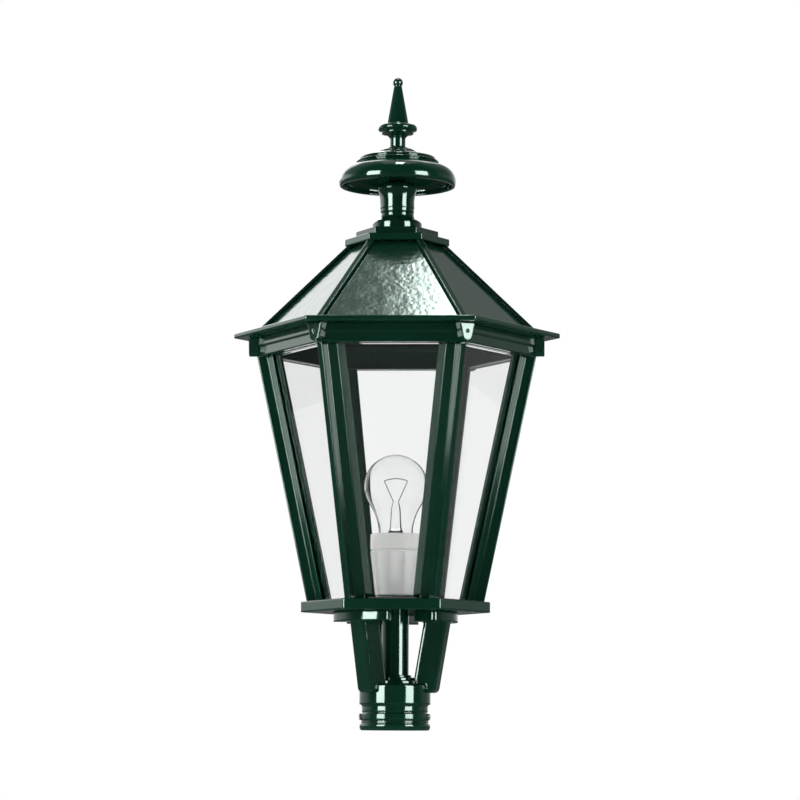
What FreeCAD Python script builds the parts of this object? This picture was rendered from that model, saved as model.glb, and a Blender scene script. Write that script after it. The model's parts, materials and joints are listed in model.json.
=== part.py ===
import FreeCAD, Part
import math
import os

import Sketcher

# A six-sided post top lantern. Z is up, the origin is the middle of the socket collar's lower
# face, the corners of the glazed cage lie at 0, 60, ... 300 degrees from +X and a pane faces -Y.

SIZES = [
    # socket collar that slips over the post's spigot
    ("bore_radius", 26.0),
    ("bore_depth", 38.0),
    ("hub_plate", 4.7),
    ("lip_radius", 32.9),
    ("lip_height", 6.2),
    ("groove_radius", 31.3),
    ("groove_height", 3.1),
    ("screw_band_radius", 32.3),
    ("screw_band_height", 6.5),
    ("waist_radius", 30.8),
    ("waist_height", 8.4),
    ("collar_radius", 33.2),
    ("collar_round", 2.2),
    ("lip_flare", 1.8),
    ("lip_return", 0.6),
    ("lip_bend", 3.4),
    ("rib_bend", 0.72),
    ("band_break", 0.4),
    ("bead_height", 1.8),
    ("bead_depth", 0.5),
    ("cove_height", 1.4),
    ("cove_bend", 3.4),
    # set screws that clamp the spigot
    ("set_screw_radius", 3.0),
    ("set_screw_proud", 1.3),
    ("set_screw_recess", 0.3),
    ("set_screw_key_radius", 1.6),
    ("set_screw_key_depth", 2.5),
    ("set_screw_spread", 77.0),
    # cable tube and its flange and nut
    ("tube_radius", 12.7),
    ("tube_bore", 9.5),
    ("flange_foot_radius", 24.3),
    ("flange_foot_height", 3.3),
    ("flange_step_radius", 19.0),
    ("flange_step_height", 3.0),
    ("flange_neck_radius", 15.3),
    ("flange_neck_height", 2.3),
    ("tube_nut_across_corners", 37.0),
    ("tube_nut_height", 4.0),
    ("grommet_bore", 5.0),
    ("grommet_height", 9.0),
    # tripod legs
    ("leg_turn", 108.0),
    ("leg_width", 19.4),
    ("leg_depth", 22.5),
    ("leg_rise", 67.0),
    ("leg_lean", 0.172),
    ("leg_foot_radius", 41.7),
    ("leg_toe", 7.8),
    ("leg_round", 3.0),
    ("toe_round", 5.0),
    ("pad_height", 9.2),
    ("pad_half_angle", 39.0),
    ("pad_radius", 58.6),
    ("pad_inner_radius", 27.0),
    ("pad_round", 4.0),
    ("leg_overlap", 0.5),
    # base plate
    ("plate_radius", 89.0),
    ("plate_height", 10.1),
    ("plate_round", 2.5),
    ("plate_edge", 0.8),
    # corner posts
    ("post_height", 230.8),
    ("post_lean", 0.2107),
    ("post_foot_radius", 83.15),
    ("nose_width", 5.0),
    ("nose_depth", 8.5),
    ("nose_round", 0.7),
    ("lip_width", 9.5),
    ("lip_wall", 2.0),
    ("lip_round", 0.5),
    ("glass_groove", 3.6),
    ("groove_floor", 3.1),
    ("wing_width", 16.0),
    ("wing_wall", 2.0),
    ("foot_screw_inset", 2.6),
    ("head_screw_inset", 5.0),
    # glazing
    ("glass_wall", 3.0),
    ("strip_height", 1.5),
    ("strip_length", 44.0),
    # cage ring under the roof
    ("ring_wall", 3.5),
    ("foot_bar", 2.0),
    ("foot_reach", 12.0),
    ("ring_inset", 5.9),
    ("ring_height", 17.6),
    # roof skirt, eave and corner brackets
    ("skirt_wall", 5.7),
    ("skirt_band_height", 9.2),
    ("skirt_step", 2.1),
    ("skirt_lift_gap", 0.3),
    ("eave_reach", 19.8),
    ("eave_wall", 4.6),
    ("eave_hole_radius", 114.0),
    ("eave_round", 2.0),
    ("eave_edge", 1.2),
    ("skirt_edge", 0.6),
    ("bracket_wall", 5.0),
    ("bracket_width", 16.2),
    ("bracket_taper", 2.7),
    ("bracket_round", 0.8),
    ("rivet_drop", 8.4),
    ("rivet_radius", 1.2),
    # roof
    ("roof_rise", 83.3),
    ("roof_slope", 1.0469),
    ("panel_wall", 2.0),
    ("panel_gap", 0.2),
    ("hip_width", 6.8),
    ("hip_wall", 3.0),
    ("hip_round", 0.8),
    # crown
    ("crown_radius", 49.5),
    ("crown_height", 6.6),
    ("tier_radius", 39.0),
    ("tier_height", 7.5),
    ("tier_edge", 0.7),
    ("ogee_radius", 23.4),
    ("ogee_foot_height", 8.3),
    ("ogee_rise", 9.5),
    ("neck_radius", 15.5),
    ("neck_flare", 2.4),
    ("neck_ring_height", 4.5),
    ("neck_ring_proud", 0.9),
    ("neck_height", 18.5),
    ("shoulder_round", 6.5),
    ("stem_radius", 9.0),
    ("ogee_lip", 0.6),
    ("ogee_edge", 1.0),
    ("ogee_cove_run", 2.2),
    ("ogee_cove_height", 1.6),
    ("ogee_cove_bend", 4.5),
    ("ogee_sweep_run", 0.6),
    ("ogee_sweep_height", 5.2),
    ("ogee_sweep_bend", 5.5),
    ("neck_foot_inset", 0.5),
    ("neck_edge_height", 1.2),
    ("neck_bend", 40.0),
    ("shoulder_run", 2.2),
    ("shoulder_drop", 0.4),
    # dome cap
    ("dome_radius", 55.6),
    ("dome_lip", 4.0),
    ("dome_round", 15.0),
    ("dome_slope", 0.548),
    ("dome_wall", 3.6),
    ("dome_ring_radius", 39.3),
    ("dome_ring_height", 2.9),
    ("dome_step_radius", 36.2),
    ("dome_step_height", 2.7),
    ("dome_top_radius", 18.0),
    ("dome_cone_height", 5.6),
    ("dome_drop", 4.0),
    ("rim_tuck", 1.2),
    ("rim_bend", 8.0),
    ("ring_tuck", 1.6),
    ("ring_seat", 0.3),
    ("ring_lip", 1.1),
    ("ring_break", 0.8),
    ("ring_edge", 0.5),
    ("step_tuck", 1.0),
    ("step_seat", 0.6),
    ("step_lip", 1.3),
    ("step_break", 0.7),
    ("top_edge", 0.5),
    # finial
    ("button_radius", 17.4),
    ("button_height", 4.6),
    ("stalk_radius", 7.45),
    ("stalk_height", 8.4),
    ("cup_radius", 13.9),
    ("cup_height", 4.4),
    ("cup_rim_height", 2.0),
    ("disc_radius", 18.7),
    ("disc_height", 8.3),
    ("spire_radius", 10.35),
    ("spire_height", 35.4),
    ("spire_tip_radius", 3.95),
    ("ball_radius", 4.8),
    ("ball_seat", 0.8),
    ("tip_step", 0.4),
    ("button_break", 0.4),
    ("button_edge", 0.6),
    ("button_run", 2.2),
    ("button_shoulder", 1.9),
    ("button_bend", 14.0),
    ("stalk_flare", 0.8),
    ("stalk_flare_height", 0.4),
    ("rim_proud", 1.2),
    ("rim_edge", 0.2),
    ("disc_break", 0.6),
    ("disc_low_height", 1.4),
    ("disc_wide_height", 3.3),
    ("disc_wide_bend", 5.0),
    ("disc_top_run", 1.6),
    ("disc_top_height", 6.0),
    ("disc_top_bend", 4.2),
    ("spire_flare", 0.5),
    ("spire_flare_height", 0.8),
    # tie rod
    ("rod_radius", 3.0),
    ("rod_grip", 11.0),
    ("rod_spare", 1.0),
    ("rod_nut_across_corners", 12.0),
    ("rod_nut_height", 5.0),
    # lampholder
    ("holder_foot_radius", 19.3),
    ("holder_height", 41.8),
    ("holder_radius", 23.85),
    ("holder_floor", 24.0),
    ("holder_bore", 16.6),
    ("collar_seam", 0.6),
    ("collar_ring_height", 15.5),
    ("holder_mouth", 16.8),
    ("shell_radius", 14.4),
    ("shell_wall", 0.7),
    ("shell_height", 26.0),
    ("thread_pitch", 3.6),
    ("contact_radius", 4.5),
    ("contact_height", 3.5),
    ("saddle_radius", 18.3),
    ("saddle_bore", 7.5),
    ("saddle_height", 1.6),
    ("cable_hole_radius", 6.5),
    ("glaze_edge", 0.8),
    ("mouth_round", 1.2),
    ("mouth_break", 0.6),
    ("seam_inset", 1.2),
    ("shell_floor_gap", 2.0),
    ("contact_seat", 6.0),
    ("contact_base_height", 3.0),
    ("contact_stem_inset", 2.0),
    ("contact_disc_height", 1.0),
    ("contact_bevel", 0.4),
    # bulb
    ("bulb_radius", 30.0),
    ("bulb_height", 105.0),
    ("bulb_neck_radius", 15.95),
    ("bulb_neck_height", 30.0),
    ("bulb_wall", 0.8),
    ("cap_radius", 13.2),
    ("cap_height", 26.0),
    ("tip_radius", 4.8),
    ("tip_height", 2.2),
    ("press_radius", 5.5),
    ("press_height", 32.0),
    ("lead_reach", 11.0),
    ("lead_height", 20.0),
    ("lead_radius", 0.45),
    ("lead_root", 2.3),
    ("lead_seat", 0.3),
    ("arch_bend", 28.6),
    ("bulb_throat", 12.8),
    ("bulb_sweep", 48.0),
    ("bulb_shoulder_turn", 35.0),
    ("tip_break", 1.5),
    ("tip_seat", 0.4),
    ("insulator_reach", 2.5),
    ("cap_cone_height", 4.0),
    ("cap_thread_foot", 5.0),
    ("thread_depth", 0.9),
    ("cap_thread_end", 3.0),
    ("cap_band_height", 2.0),
    ("stem_foot_radius", 10.2),
    ("stem_cone_height", 8.0),
    ("stem_cone_bend", 14.0),
    ("press_taper", 1.0),
    ("press_flat_height", 6.0),
    ("press_edge", 2.5),
    # screws
    ("screw_radius", 1.6),
    ("screw_head_radius", 3.0),
    ("screw_head_height", 2.2),
    ("screw_length", 9.0),
    ("screw_end_gap", 1.0),
    ("leg_screw_radius", 2.5),
    ("leg_screw_head_radius", 4.5),
    ("leg_screw_head_height", 3.0),
    ("leg_screw_length", 17.0),
    ("leg_screw_end_gap", 1.5),
    # clearances
    ("screw_clearance", 0.1),
    ("running_clearance", 0.06),
    ("seat_clearance", 0.2),
    ("lift_clearance", 0.8),
    ("cut_margin", 1.0),
    ("corners", 6),
    ("legs", 3),
]

# Heights and radii that follow from the sizes above.
LEVELS = [
    ("screw_band_foot", "Size.lip_height + Size.groove_height"),
    ("set_screw_axis", "Level.screw_band_foot + Size.screw_band_height / 2"),
    ("waist_foot", "Level.screw_band_foot + Size.screw_band_height"),
    ("drum_foot", "Level.waist_foot + Size.waist_height"),
    ("collar_top", "Size.bore_depth + Size.hub_plate"),
    ("flange_top", "Level.collar_top + Size.flange_foot_height + Size.flange_step_height"
                   " + Size.flange_neck_height"),
    ("plate_foot", "Level.collar_top + Size.leg_rise"),
    ("plate_top", "Level.plate_foot + Size.plate_height"),
    ("leg_foot", "Level.collar_top - Size.leg_toe"),
    ("leg_outer", "Size.leg_foot_radius - Size.leg_lean * Size.leg_toe"),
    ("pad_foot", "Level.plate_foot - Size.pad_height"),
    ("leg_screw_circle", "(Size.pad_radius + Size.pad_inner_radius) / 2"),
    ("post_top", "Level.plate_top + Size.post_height"),
    ("post_head_radius", "Size.post_foot_radius + Size.post_lean * Size.post_height"),
    ("foot_screw_circle", "Size.post_foot_radius - Size.nose_depth - Size.foot_screw_inset"),
    ("head_screw_circle", "Level.post_head_radius - Size.nose_depth - Size.head_screw_inset"),
    ("glass_foot", "Level.plate_top + Size.strip_height"),
    ("ring_top", "Level.post_top + Size.ring_height"),
    ("ring_radius", "Level.post_head_radius - Size.ring_inset"),
    ("skirt_inner_radius", "Level.ring_radius + Size.lift_clearance"),
    ("skirt_band_radius", "Level.skirt_inner_radius + Size.skirt_wall"),
    ("skirt_radius", "Level.skirt_band_radius + Size.skirt_step"),
    ("skirt_foot", "Level.post_top + Size.skirt_lift_gap"),
    ("eave_radius", "Level.skirt_radius + Size.eave_reach"),
    ("roof_foot", "Level.ring_top + Size.eave_wall"),
    ("bracket_face", "Level.skirt_radius + Size.bracket_wall"),
    ("skirt_step_height", "Level.skirt_foot + Size.skirt_band_height"),
    ("bracket_waist", "Size.bracket_width / 2 - Size.bracket_taper"),
    ("bracket_back", "Level.skirt_band_radius - Size.bracket_width / 2 / sqrt(3)"),
    ("rivet_axis", "Level.ring_top - Size.rivet_drop"),
    ("roof_head_radius", "Level.skirt_radius - Size.roof_slope * Size.roof_rise"),
    ("hip_drop", "Size.hip_wall * sqrt(1 + Size.roof_slope ^ 2)"),
    ("crown_foot", "Level.roof_foot + Size.roof_rise"),
    ("tier_foot", "Level.crown_foot + Size.crown_height"),
    ("ogee_foot", "Level.tier_foot + Size.tier_height"),
    ("ogee_shelf", "Level.ogee_foot + Size.ogee_foot_height"),
    ("neck_foot", "Level.ogee_shelf + Size.ogee_rise"),
    ("neck_band_top", "Level.neck_foot + Size.neck_ring_height"),
    ("shoulder_foot", "Level.neck_band_top + Size.neck_height"),
    ("stem_foot", "Level.shoulder_foot + Size.shoulder_round"),
    ("dome_foot", "Level.stem_foot - Size.dome_drop"),
    ("dome_side", "Level.dome_foot + Size.dome_lip"),
    ("dome_arc_run", "Size.dome_round * (1 - Size.dome_slope / sqrt(1 + Size.dome_slope ^ 2))"),
    ("dome_arc_rise", "Size.dome_round / sqrt(1 + Size.dome_slope ^ 2)"),
    ("dome_arc_radius", "Size.dome_radius - Level.dome_arc_run"),
    ("dome_arc_top", "Level.dome_side + Level.dome_arc_rise"),
    ("dome_ring_foot", "Level.dome_arc_top + Size.dome_slope * (Level.dome_arc_radius"
                       " - Size.dome_ring_radius)"),
    ("dome_step_foot", "Level.dome_ring_foot + Size.dome_ring_height"),
    ("dome_cone_foot", "Level.dome_step_foot + Size.dome_step_height"),
    ("dome_top", "Level.dome_cone_foot + Size.dome_cone_height"),
    ("dome_ceiling", "Level.dome_top - Size.dome_wall - Size.dome_cone_height * 0.5"),
    ("finial_stalk", "Level.dome_top + Size.button_height"),
    ("finial_cup", "Level.finial_stalk + Size.stalk_height"),
    ("finial_rim", "Level.finial_cup + Size.cup_height"),
    ("finial_disc", "Level.finial_rim + Size.cup_rim_height"),
    ("finial_spire", "Level.finial_disc + Size.disc_height"),
    ("finial_neck", "Level.finial_spire + Size.spire_height"),
    ("ball_foot", "Level.finial_neck + Size.ball_seat"),
    ("ball_middle", "Level.ball_foot + sqrt(Size.ball_radius ^ 2"
                    " - (Size.spire_tip_radius - Size.tip_step) ^ 2)"),
    ("rod_foot", "Level.crown_foot - Size.rod_nut_height"),
    ("rod_top", "Level.dome_top + Size.rod_grip"),
    ("tube_top", "Level.plate_top + Size.tube_nut_height"),
    ("holder_foot", "Level.tube_top + Size.saddle_height"),
    ("holder_top", "Level.holder_foot + Size.holder_height"),
    ("mouth_foot", "Level.holder_top + Size.collar_seam"),
    ("mouth_top", "Level.mouth_foot + Size.collar_ring_height"),
    ("shell_foot", "Level.holder_foot + Size.holder_floor"),
    ("contact_top", "Level.shell_foot + Size.contact_height"),
    ("bulb_foot", "Level.contact_top + Size.seat_clearance"),
    ("cap_foot", "Level.bulb_foot + Size.tip_height"),
    ("cap_top", "Level.cap_foot + Size.cap_height"),
    ("bulb_neck", "Level.bulb_foot + Size.bulb_neck_height"),
    ("bulb_top", "Level.bulb_foot + Size.bulb_height"),
    ("press_top", "Level.cap_top + Size.press_height"),
    ("lead_foot", "Level.press_top + Size.lead_seat"),
    ("filament", "Level.press_top + Size.lead_height"),
]

# How near two measured places must lie to count as the same, in millimetres.
NEAR = 1e-3

doc = FreeCAD.newDocument("PostTopLantern")
nodes = []


def make_sheet():
    """Write the driving sizes, one row each."""
    sheet = doc.addObject("Spreadsheet::Sheet", "Size")
    for row, (alias, value) in enumerate(SIZES, start=1):
        sheet.set("A%d" % row, alias)
        sheet.set("B%d" % row, str(value))
        sheet.setAlias("B%d" % row, alias)
    doc.recompute()
    return sheet


def make_levels():
    """Hold the derived heights and radii, each bound to the sheet."""
    holder = doc.addObject("App::FeaturePython", "Level")
    for name, expression in LEVELS:
        holder.addProperty("App::PropertyFloat", name)
        holder.setExpression(name, expression)
        doc.recompute()
    return holder


sheet = make_sheet()
levels = make_levels()


def number(expression):
    """Value of an expression over the sheet and the levels."""
    return float(levels.evalExpression(str(expression)))


def new_body(label, group=False):
    """Start a sub-part; group marks one that holds several separate solids."""
    body = doc.addObject("PartDesign::Body", label)
    body.Label = label
    body.AllowCompound = group
    nodes.append(body)
    return body


def origin_feature(body, role):
    return [item for item in body.Origin.OriginFeatures if item.Role == role][0]


def new_sketch(body, role, height=None):
    """Sketch on one of the body's own origin planes, raised by height."""
    sketch = body.newObject("Sketcher::SketchObject", body.Name + "_sketch")
    sketch.AttachmentSupport = [(origin_feature(body, role), "")]
    sketch.MapMode = "FlatFace"
    if height is not None:
        sketch.setExpression("AttachmentOffset.Base.z", height)
    return sketch


def pin_point(sketch, edge, end, x, y):
    """Fix one end of an edge at (x, y), each an expression."""
    for kind, axis, value in (("DistanceX", -2, x), ("DistanceY", -1, y)):
        if str(value) == "0":
            sketch.addConstraint(Sketcher.Constraint("PointOnObject", edge, end, axis))
            continue
        index = sketch.addConstraint(
            Sketcher.Constraint(kind, -1, 1, edge, end, number(value)))
        sketch.setExpression("Constraints[%d]" % index, str(value))


def arc_between(first, last, radius):
    """Arc from first to last; a positive radius bends to the left of the way along."""
    chord = last - first
    half = chord.Length / 2
    size = max(abs(radius), half * 1.0005)
    side = 1 if radius > 0 else -1
    normal = FreeCAD.Vector(chord.y, -chord.x, 0).normalize()
    centre = (first + last) * 0.5 - normal * side * -1 * math.sqrt(size * size - half * half)
    start = math.atan2(first.y - centre.y, first.x - centre.x)
    stop = math.atan2(last.y - centre.y, last.x - centre.x)
    if side > 0:
        start, stop = stop, start
    if stop < start:
        stop += 2 * math.pi
    circle = Part.Circle(centre, FreeCAD.Vector(0, 0, 1), size)
    return Part.ArcOfCircle(circle, start, stop), side > 0


def outline(sketch, corners, bends=None):
    """Closed outline through corners; bends gives the radius of an edge that is an arc.

    A positive radius bulges to the left of the way from its corner to the next.
    """
    bends = bends or {}
    points = [FreeCAD.Vector(number(x), number(y), 0) for x, y in corners]
    count = len(points)
    ends = []
    for index in range(count):
        first = points[index]
        last = points[(index + 1) % count]
        if index in bends:
            curve, swapped = arc_between(first, last, number(bends[index]))
        else:
            curve, swapped = Part.LineSegment(first, last), False
        edge = sketch.addGeometry(curve, False)
        ends.append((edge, 2, 1) if swapped else (edge, 1, 2))
    for index in range(count):
        edge, start, stop = ends[index]
        following = ends[(index + 1) % count]
        sketch.addConstraint(Sketcher.Constraint("Coincident", edge, stop, following[0], following[1]))
    for index, (x, y) in enumerate(corners):
        pin_point(sketch, ends[index][0], ends[index][1], x, y)
    for index, radius in bends.items():
        edge = ends[index][0]
        row = sketch.addConstraint(Sketcher.Constraint("Radius", edge, abs(number(radius))))
        sketch.setExpression("Constraints[%d]" % row, "abs(%s)" % radius)
    return sketch


def circle(sketch, x, y, radius):
    """Circle with its centre at (x, y)."""
    centre = FreeCAD.Vector(number(x), number(y), 0)
    edge = sketch.addGeometry(Part.Circle(centre, FreeCAD.Vector(0, 0, 1), number(radius)), False)
    pin_point(sketch, edge, 3, x, y)
    row = sketch.addConstraint(Sketcher.Constraint("Radius", edge, number(radius)))
    sketch.setExpression("Constraints[%d]" % row, str(radius))
    return sketch


def hexagon_corners(radius, middle="0"):
    """Corners of a hexagon about (0, middle) whose first corner lies on +X."""
    half = "(%s) / 2" % radius
    rise = "(%s) * sqrt(3) / 2" % radius
    high = rise if middle == "0" else "%s + %s" % (middle, rise)
    low = "-" + rise if middle == "0" else "%s - %s" % (middle, rise)
    return [(radius, middle), (half, high), ("-" + half, high),
            ("-(%s)" % radius, middle), ("-" + half, low), (half, low)]


def rectangle(x_low, x_high, half_width):
    """Corners of a rectangle that is symmetric about the sketch's X axis."""
    return [(x_low, "-(%s)" % half_width), (x_high, "-(%s)" % half_width),
            (x_high, half_width), (x_low, half_width)]


def sector_corners(inner, outer, half_angle):
    """Corners of a ring's sector about the sketch's X axis; edges 1 and 3 are its arcs."""
    across = "cos(%s * 1deg)" % half_angle
    up = "sin(%s * 1deg)" % half_angle
    return [("%s * %s" % (inner, across), "-(%s * %s)" % (inner, up)),
            ("%s * %s" % (outer, across), "-(%s * %s)" % (outer, up)),
            ("%s * %s" % (outer, across), "%s * %s" % (outer, up)),
            ("%s * %s" % (inner, across), "%s * %s" % (inner, up))]


def pad(body, sketch, length):
    feature = body.newObject("PartDesign::Pad", body.Name + "_pad")
    feature.Profile = sketch
    feature.setExpression("Length", length)
    doc.recompute()
    return feature


def leaning_pad(body, sketch, height, lean):
    """Pad that climbs by height while it moves outwards by lean for each millimetre."""
    feature = body.newObject("PartDesign::Pad", body.Name + "_pad")
    feature.Profile = sketch
    feature.UseCustomVector = True
    feature.Direction = FreeCAD.Vector(number(lean), 0, 1)
    feature.setExpression("Direction.x", lean)
    feature.AlongSketchNormal = True
    feature.setExpression("Length", height)
    doc.recompute()
    return feature


def pocket(body, sketch, depth, upwards=False):
    """Cut along the sketch's normal, and make sure that something went away."""
    before = body.Shape.Volume
    feature = body.newObject("PartDesign::Pocket", body.Name + "_pocket")
    feature.Profile = sketch
    feature.setExpression("Length", depth)
    feature.Reversed = upwards
    doc.recompute()
    if body.Shape.Volume > before - 1e-6:
        raise RuntimeError("a pocket of %s cuts nothing" % body.Label)
    return feature


def revolve(body, corners, bends=None):
    """Turn a half outline, given as (radius, height) pairs, about Z."""
    sketch = outline(new_sketch(body, "XZ_Plane"), corners, bends)
    feature = body.newObject("PartDesign::Revolution", body.Name + "_turned")
    feature.Profile = sketch
    feature.ReferenceAxis = (sketch, ["V_Axis"])
    feature.Angle = 360
    doc.recompute()
    return feature


def round_edges(body, chosen, radius):
    """Fillet the edges for which chosen is true."""
    edges = ["Edge%d" % (index + 1) for index, edge in enumerate(body.Shape.Edges) if chosen(edge)]
    if not edges:
        raise RuntimeError("no edge to round on %s" % body.Label)
    base = body.Tip
    feature = body.newObject("PartDesign::Fillet", body.Name + "_round")
    feature.Base = (base, edges)
    feature.setExpression("Radius", radius)
    doc.recompute()
    return feature


def ring_of(body, features, count):
    """Repeat features around Z."""
    pattern = body.newObject("PartDesign::PolarPattern", body.Name + "_ring")
    pattern.Originals = features
    pattern.Axis = (origin_feature(body, "Z_Axis"), [""])
    pattern.Angle = 360
    pattern.setExpression("Occurrences", count)
    body.Tip = pattern
    doc.recompute()
    return pattern


def turn_about_z(body, angle):
    """Turn the whole sub-part about Z by an expression in degrees."""
    body.Placement = FreeCAD.Placement(FreeCAD.Vector(), FreeCAD.Rotation(FreeCAD.Vector(0, 0, 1), 1))
    body.setExpression("Placement.Rotation.Angle", "(%s) * 1deg" % angle)
    doc.recompute()


def direction_of(edge):
    """Unit vector along a straight edge, or None for a curve."""
    span = edge.Vertexes[-1].Point - edge.Vertexes[0].Point
    if span.Length < NEAR or abs(edge.Length - span.Length) > NEAR * NEAR:
        return None
    return span.normalize()


def along(edge, x, z):
    """True for a straight edge that climbs in the direction (x, 0, z)."""
    heading = direction_of(edge)
    if heading is None:
        return False
    wanted = FreeCAD.Vector(x, 0, z).normalize()
    return abs(heading.dot(wanted)) > 0.99999


def level_rim(edge, reach, heights):
    """True for an edge that runs level at one of the heights, further out than reach."""
    spots = [vertex.Point for vertex in edge.Vertexes]
    if min(math.hypot(spot.x, spot.y) for spot in spots) < reach:
        return False
    return any(all(abs(spot.z - height) < NEAR for spot in spots) for height in heights)


def turned_screws(body, circle_radius, head_z, down, head, neck, length, count):
    """Ring of cylinder head screws whose heads' flat ends lie at head_z."""
    sketch = new_sketch(body, "XZ_Plane")
    sign = "-" if down else "+"
    head_radius, head_height = head
    under = "%s %s (%s)" % (head_z, sign, head_height)
    tip = "%s %s (%s)" % (under, sign, length)
    middle = circle_radius
    corners = [
        (middle, head_z),
        ("%s + %s" % (middle, head_radius), head_z),
        ("%s + %s" % (middle, head_radius), under),
        ("%s + %s" % (middle, neck), under),
        ("%s + %s" % (middle, neck), tip),
        (middle, tip),
    ]
    outline(sketch, corners)
    start = FreeCAD.Vector(number(middle), number(head_z), 0)
    stop = FreeCAD.Vector(number(middle), number(tip), 0)
    axis = sketch.addGeometry(Part.LineSegment(start, stop), True)
    pin_point(sketch, axis, 1, middle, head_z)
    pin_point(sketch, axis, 2, middle, tip)
    feature = body.newObject("PartDesign::Revolution", body.Name + "_turned")
    feature.Profile = sketch
    feature.ReferenceAxis = (sketch, ["Axis0"])
    feature.Angle = 360
    doc.recompute()
    return ring_of(body, [feature], count)


def drill_ring(body, circle_radius, floor, radius, depth, upwards, count):
    """Ring of round holes along Z, sketched at the height floor."""
    sketch = circle(new_sketch(body, "XY_Plane", floor), circle_radius, "0", radius)
    feature = pocket(body, sketch, depth, upwards)
    return ring_of(body, [feature], count)


# ---------------------------------------------------------------- socket and tripod

def socket_collar():
    """Turned collar with a blind bore, beaded outside, and three holes for the set screws."""
    body = new_body("socket_collar")
    corners = [
        ("Size.bore_radius", "0"),
        ("Size.lip_radius - Size.lip_flare", "0"),
        ("Size.lip_radius", "Size.lip_height / 2"),
        ("Size.lip_radius - Size.lip_return", "Size.lip_height"),
        ("Size.groove_radius", "Size.lip_height"),
        ("Size.groove_radius", "Size.lip_height + Size.groove_height * 0.3"),
        ("Size.groove_radius", "Size.lip_height + Size.groove_height * 0.7"),
        ("Size.groove_radius", "Level.screw_band_foot"),
        ("Size.screw_band_radius", "Level.screw_band_foot + Size.band_break"),
        ("Size.screw_band_radius", "Level.waist_foot - Size.band_break"),
        ("Size.waist_radius", "Level.waist_foot"),
        ("Size.waist_radius - Size.bead_depth", "Level.waist_foot + Size.bead_height / 2"),
        ("Size.waist_radius", "Level.waist_foot + Size.bead_height"),
        ("Size.waist_radius", "Level.drum_foot - Size.cove_height"),
        ("Size.collar_radius", "Level.drum_foot"),
        ("Size.collar_radius", "Level.collar_top - Size.collar_round"),
        ("Size.collar_radius - Size.collar_round", "Level.collar_top"),
        ("Size.tube_radius + Size.seat_clearance", "Level.collar_top"),
        ("Size.tube_radius + Size.seat_clearance", "Size.bore_depth"),
        ("Size.bore_radius", "Size.bore_depth"),
    ]
    bends = {
        1: "-Size.lip_bend",
        2: "-Size.lip_bend",
        5: "-Size.rib_bend",
        13: "Size.cove_bend",
        15: "-Size.collar_round",
    }
    revolve(body, corners, bends)
    for angle in ("Size.set_screw_spread", "-Size.set_screw_spread", "180"):
        set_screw_hole(body, angle)


def set_screw_hole(body, angle):
    """Radial hole through the collar wall, turned by angle from the front."""
    sketch = upright_sketch(body, angle, "0")
    circle(sketch, "0", "Level.set_screw_axis", "Size.set_screw_radius + Size.running_clearance")
    pocket(body, sketch, "Size.lip_radius + Size.set_screw_radius", upwards=True)


def upright_sketch(body, angle, reach):
    """Sketch that faces outwards at an angle from the front, reach away from the axis."""
    sketch = new_sketch(body, "XZ_Plane")
    sketch.AttachmentOffset = FreeCAD.Placement(
        FreeCAD.Vector(), FreeCAD.Rotation(FreeCAD.Vector(0, 1, 0), 1))
    sketch.setExpression("AttachmentOffset.Rotation.Angle", "(%s) * 1deg" % angle)
    sketch.setExpression("AttachmentOffset.Base.x", "sin((%s) * 1deg) * (%s)" % (angle, reach))
    sketch.setExpression("AttachmentOffset.Base.z", "cos((%s) * 1deg) * (%s)" % (angle, reach))
    return sketch


def set_screw(index, angle):
    """Headless screw with a hexagon key hole, its tip just inside the collar's bore."""
    body = new_body("set_screw_%d" % index)
    tip = "Size.bore_radius + Size.set_screw_recess"
    end = "Size.screw_band_radius + Size.set_screw_proud"
    sketch = circle(upright_sketch(body, angle, tip), "0", "Level.set_screw_axis", "Size.set_screw_radius")
    pad(body, sketch, "%s - (%s)" % (end, tip))
    sketch = upright_sketch(body, angle, end)
    outline(sketch, hexagon_corners("Size.set_screw_key_radius", "Level.set_screw_axis"))
    pocket(body, sketch, "Size.set_screw_key_depth")


def cable_tube():
    """Plain tube that carries the supply cable up to the lampholder."""
    body = new_body("cable_tube")
    sketch = circle(new_sketch(body, "XY_Plane", "Size.bore_depth"), "0", "0", "Size.tube_radius")
    circle(sketch, "0", "0", "Size.tube_bore")
    pad(body, sketch, "Level.tube_top - Size.bore_depth")


def tube_flange():
    """Stepped flange around the tube on the collar's top."""
    body = new_body("tube_flange")
    bore = "Size.tube_radius + Size.screw_clearance"
    step = "Level.collar_top + Size.flange_foot_height"
    neck = step + " + Size.flange_step_height"
    revolve(body, [
        (bore, "Level.collar_top"),
        ("Size.flange_foot_radius", "Level.collar_top"),
        ("Size.flange_foot_radius", step),
        ("Size.flange_step_radius", step),
        ("Size.flange_step_radius", neck),
        ("Size.flange_neck_radius", neck),
        ("Size.flange_neck_radius", "Level.flange_top"),
        (bore, "Level.flange_top"),
    ])


def tube_locknut():
    """Thin hexagon nut that holds the tube on the base plate."""
    body = new_body("tube_locknut")
    sketch = new_sketch(body, "XY_Plane", "Level.plate_top")
    outline(sketch, hexagon_corners("Size.tube_nut_across_corners / 2"))
    circle(sketch, "0", "0", "Size.tube_radius + Size.screw_clearance")
    pad(body, sketch, "Size.tube_nut_height")


def cable_grommet():
    """Rubber bush in the tube's lower end."""
    body = new_body("cable_grommet")
    sketch = new_sketch(body, "XY_Plane", "Size.bore_depth")
    circle(sketch, "0", "0", "Size.tube_bore - Size.running_clearance")
    circle(sketch, "0", "0", "Size.grommet_bore")
    pad(body, sketch, "Size.grommet_height")


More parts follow.
